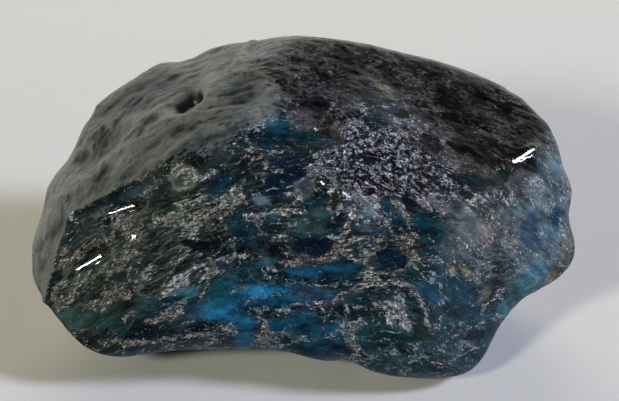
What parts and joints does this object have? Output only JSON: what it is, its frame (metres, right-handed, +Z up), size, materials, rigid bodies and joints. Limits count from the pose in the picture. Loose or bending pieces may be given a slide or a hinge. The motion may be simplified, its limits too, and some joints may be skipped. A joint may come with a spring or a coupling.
{
  "type": "tumbled apatite specimen",
  "caption": "Tumbled lump of translucent blue apatite with worn flat faces, soft edges, a rippled grey shoulder and a flat place to rest on.",
  "frame": {"origin": "centre of the bounding box at the level of the surface it rests on", "axes": "+X along the stone's longest extent, from the rippled shoulder towards the pale chipped end; -Y out of the broad front face; +Z up"},
  "size_m": [0.0548, 0.032, 0.0302],
  "materials": {
    "apatite": "tumbled to a soft polish, glossy, mottled blue, teal and silver grey"
  },
  "bodies": {
    "root": {"apatite_stone": "apatite"}
  },
  "joints": []
}
